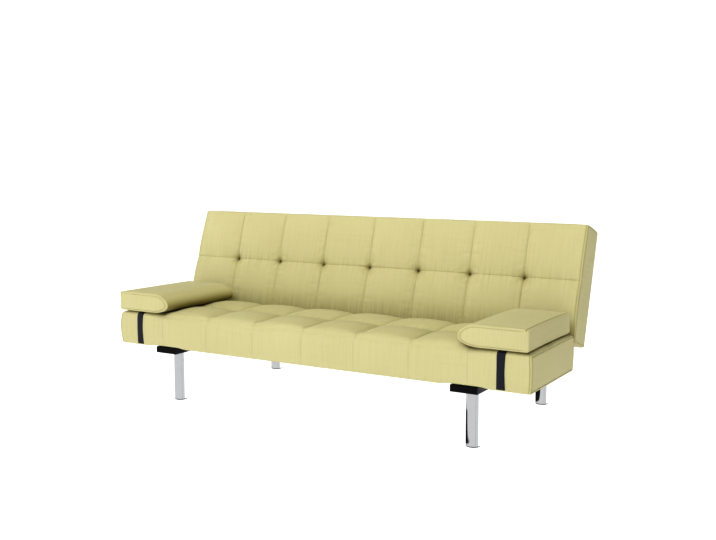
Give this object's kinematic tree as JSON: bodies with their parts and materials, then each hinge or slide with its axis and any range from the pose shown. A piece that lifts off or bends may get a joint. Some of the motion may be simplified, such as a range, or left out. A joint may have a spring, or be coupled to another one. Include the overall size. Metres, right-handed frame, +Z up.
{
  "type": "sofa bed",
  "caption": "Click clack sofa bed: quilted seat and button tufted back on a ratchet hinge, strapped arm cushions, black rails and chromed tube legs.",
  "frame": {"origin": "on the floor, at the centre of the sofa's footprint with its back upright", "axes": "+X along the sofa's length to the sitter's left, which is the viewer's right; +Y from the seat's front to the back; +Z up"},
  "size_m": [1.81, 0.871, 0.7476],
  "materials": {
    "lime_fabric": "matte",
    "button_fabric": "matte",
    "black_webbing": "matte",
    "chrome": "polished",
    "black_plastic": "matte",
    "black_lacquer": "satin",
    "black_paint": "satin",
    "zinc_steel": "satin",
    "spring_steel": "satin",
    "pine": "matte",
    "rubber": "matte",
    "dust_cloth": "matte"
  },
  "bodies": {
    "base": {"rail_left": "black_lacquer", "rail_right": "black_lacquer", "leg_front_left": "chrome", "leg_front_right": "chrome", "leg_rear_left": "chrome", "leg_rear_right": "chrome", "foot_front_left": "black_plastic", "foot_front_right": "black_plastic", "foot_rear_left": "black_plastic", "foot_rear_right": "black_plastic", "cross_tube_front": "black_paint", "cross_tube_rear": "black_paint", "hinge_bracket_left": "black_paint", "hinge_bracket_right": "black_paint", "pivot_pin_left": "zinc_steel", "pivot_pin_right": "zinc_steel", "seat_rest_pad_left": "rubber", "seat_rest_pad_right": "rubber", "bed_rest_pad_left": "rubber", "bed_rest_pad_right": "rubber"},
    "seat": {"seat_pad": "lime_fabric", "seat_front_board": "pine", "seat_rear_board": "pine", "seat_dust_cover": "dust_cloth", "seat_spring_unit": "spring_steel", "seat_end_board_left": "pine", "seat_end_board_right": "pine", "seat_hinge_board_left": "pine", "seat_hinge_board_right": "pine", "seat_arm_left": "zinc_steel", "seat_arm_right": "zinc_steel", "ratchet_quadrant_left": "zinc_steel", "ratchet_quadrant_right": "zinc_steel"},
    "back": {"back_pad": "lime_fabric", "back_bottom_board": "pine", "back_top_board": "pine", "back_rear_panel": "lime_fabric", "back_spring_unit": "spring_steel", "back_end_board_left": "pine", "back_end_board_right": "pine", "back_hinge_board_left": "pine", "back_hinge_board_right": "pine", "back_arm_left": "zinc_steel", "back_arm_right": "zinc_steel", "pawl_spring_left": "spring_steel", "pawl_spring_right": "spring_steel", "tufting_button_1": "button_fabric", "tufting_button_2": "button_fabric", "tufting_button_3": "button_fabric", "tufting_button_4": "button_fabric", "tufting_button_5": "button_fabric", "tufting_button_6": "button_fabric", "tufting_button_7": "button_fabric"},
    "pawl_left": {"pawl_left": "zinc_steel"},
    "pawl_right": {"pawl_right": "zinc_steel"},
    "arm_left": {"arm_cushion_left": "lime_fabric", "arm_strap_left": "black_webbing"},
    "arm_right": {"arm_cushion_right": "lime_fabric", "arm_strap_right": "black_webbing"}
  },
  "joints": [
    {"name": "seat_lift", "type": "hinge", "parent": "base", "child": "seat", "pos_m": [0, 0.042, 0.34], "axis": [-1, 0, 0], "range_deg": [0, 14.5]},
    {"name": "back_recline", "type": "hinge", "parent": "base", "child": "back", "pos_m": [0, 0.042, 0.34], "axis": [-1, 0, 0], "range_deg": [0, 72.5]},
    {"name": "pawl_left_swing", "type": "hinge", "parent": "back", "child": "pawl_left", "pos_m": [-0.6605, 0.08016, 0.31615], "axis": [1, 0, 0], "range_deg": [0, 11]},
    {"name": "pawl_right_swing", "type": "hinge", "parent": "back", "child": "pawl_right", "pos_m": [0.6605, 0.08016, 0.31615], "axis": [1, 0, 0], "range_deg": [0, 11]},
    {"name": "arm_left_slide", "type": "slide", "parent": "seat", "child": "arm_left", "axis": [-1, 0, 0], "range_m": [0, 0.13]},
    {"name": "arm_right_slide", "type": "slide", "parent": "seat", "child": "arm_right", "axis": [1, 0, 0], "range_m": [0, 0.13]}
  ],
  "couplings": [
    {"joint": "pawl_right_swing", "follows": "pawl_left_swing", "ratio": 1}
  ]
}
